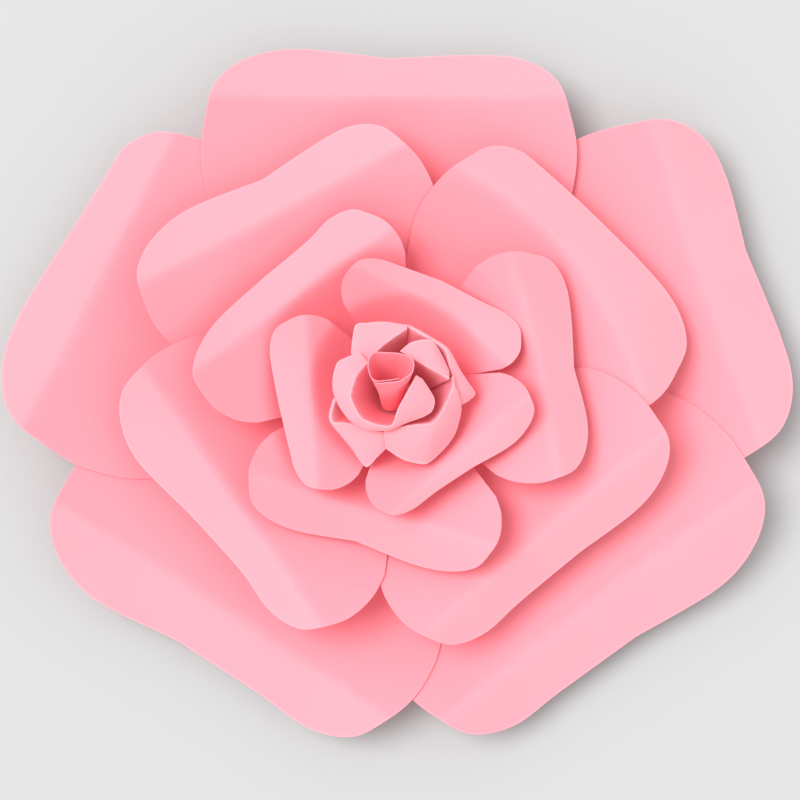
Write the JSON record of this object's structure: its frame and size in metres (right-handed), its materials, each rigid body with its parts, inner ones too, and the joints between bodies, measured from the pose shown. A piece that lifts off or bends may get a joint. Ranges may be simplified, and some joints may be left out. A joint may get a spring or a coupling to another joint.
{
  "type": "giant paper flower",
  "caption": "Large open paper rose of pink card: rings of two-lobed petals with rolled edges, stacked on a flat backing disc round a folded and rolled bud.",
  "frame": {"origin": "centre of the backing disc's back face, on the flower's axis", "axes": "+Z out of the open flower, away from the disc; +Y towards the outer petal that lies topmost; +X to the right seen from the front"},
  "size_m": [0.4003, 0.3492, 0.0852],
  "materials": {
    "outer_petals": "matt",
    "second_petals": "matt",
    "third_petals": "matt",
    "inner_petals": "matt",
    "bud": "matt",
    "backing_disc": "matt"
  },
  "bodies": {
    "root": {"backing_disc": "backing_disc", "outer_petal_1": "outer_petals", "outer_petal_2": "outer_petals", "outer_petal_3": "outer_petals", "outer_petal_4": "outer_petals", "outer_petal_5": "outer_petals", "second_petal_1": "second_petals", "second_petal_2": "second_petals", "second_petal_3": "second_petals", "second_petal_4": "second_petals", "third_petal_1": "third_petals", "third_petal_2": "third_petals", "third_petal_3": "third_petals", "inner_petal_1": "inner_petals", "inner_petal_2": "inner_petals", "inner_petal_3": "inner_petals", "bud_cup_petal": "bud", "bud_inner_petal": "bud", "bud_wrap_petal_1": "bud", "bud_wrap_petal_2": "bud", "bud_wrap_petal_3": "bud", "bud_wrap_petal_4": "bud", "bud_rolled_cone": "bud"}
  },
  "joints": []
}
